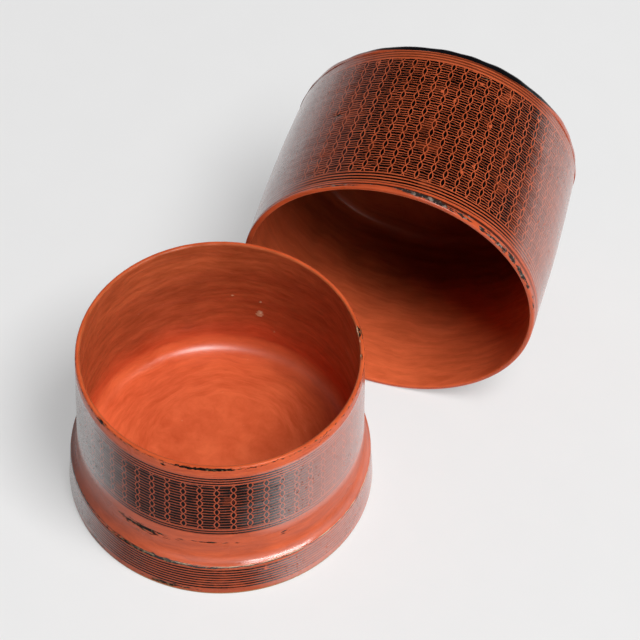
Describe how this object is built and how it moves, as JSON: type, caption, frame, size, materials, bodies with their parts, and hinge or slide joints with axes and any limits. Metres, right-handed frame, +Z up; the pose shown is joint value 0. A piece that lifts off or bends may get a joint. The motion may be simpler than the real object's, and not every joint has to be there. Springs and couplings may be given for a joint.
{
  "type": "lacquer betel box",
  "caption": "Round lidded box of lacquered coiled bamboo, engraved outside and plain vermilion inside, with a flared foot; its deep slip-over cover is off and lies on its side.",
  "frame": {"origin": "centre of the foot's resting face, on the table, on the axis of the base", "axes": "+Z up along the axis of the base; +Y along the axis of the cover that lies beside it, from its mouth to its top; +X towards the side on which the cover lies"},
  "size_m": [0.2306, 0.2718, 0.1596],
  "materials": {
    "vermilion_lacquer": "polished lacquer, worn at the lips",
    "engraved_lacquer": "vermilion lines engraved in a black ground, polished",
    "black_lacquer": "polished black lacquer",
    "coiled_bamboo": "split bamboo strip, coiled and sealed",
    "ash_putty": "lacquer and ash putty"
  },
  "bodies": {
    "base": {"base_wall": "coiled_bamboo", "base_floor": "coiled_bamboo", "base_foot_ring": "coiled_bamboo", "base_rim_hoop": "vermilion_lacquer", "base_corner_putty": "ash_putty", "base_outer_lacquer": "engraved_lacquer", "base_inner_lining": "vermilion_lacquer", "base_underside_lacquer": "black_lacquer"},
    "cover": {"cover_wall": "coiled_bamboo", "cover_top_disc": "coiled_bamboo", "cover_mouth_hoop": "vermilion_lacquer", "cover_top_hoop": "black_lacquer", "cover_corner_putty": "ash_putty", "cover_outer_lacquer": "engraved_lacquer", "cover_inner_lining": "vermilion_lacquer", "cover_top_lacquer": "black_lacquer"}
  },
  "joints": [
    {"name": "cover_slide", "type": "slide", "parent": "base", "child": "cover", "axis": [0, 1, 0], "range_m": [0, 0.074]}
  ]
}
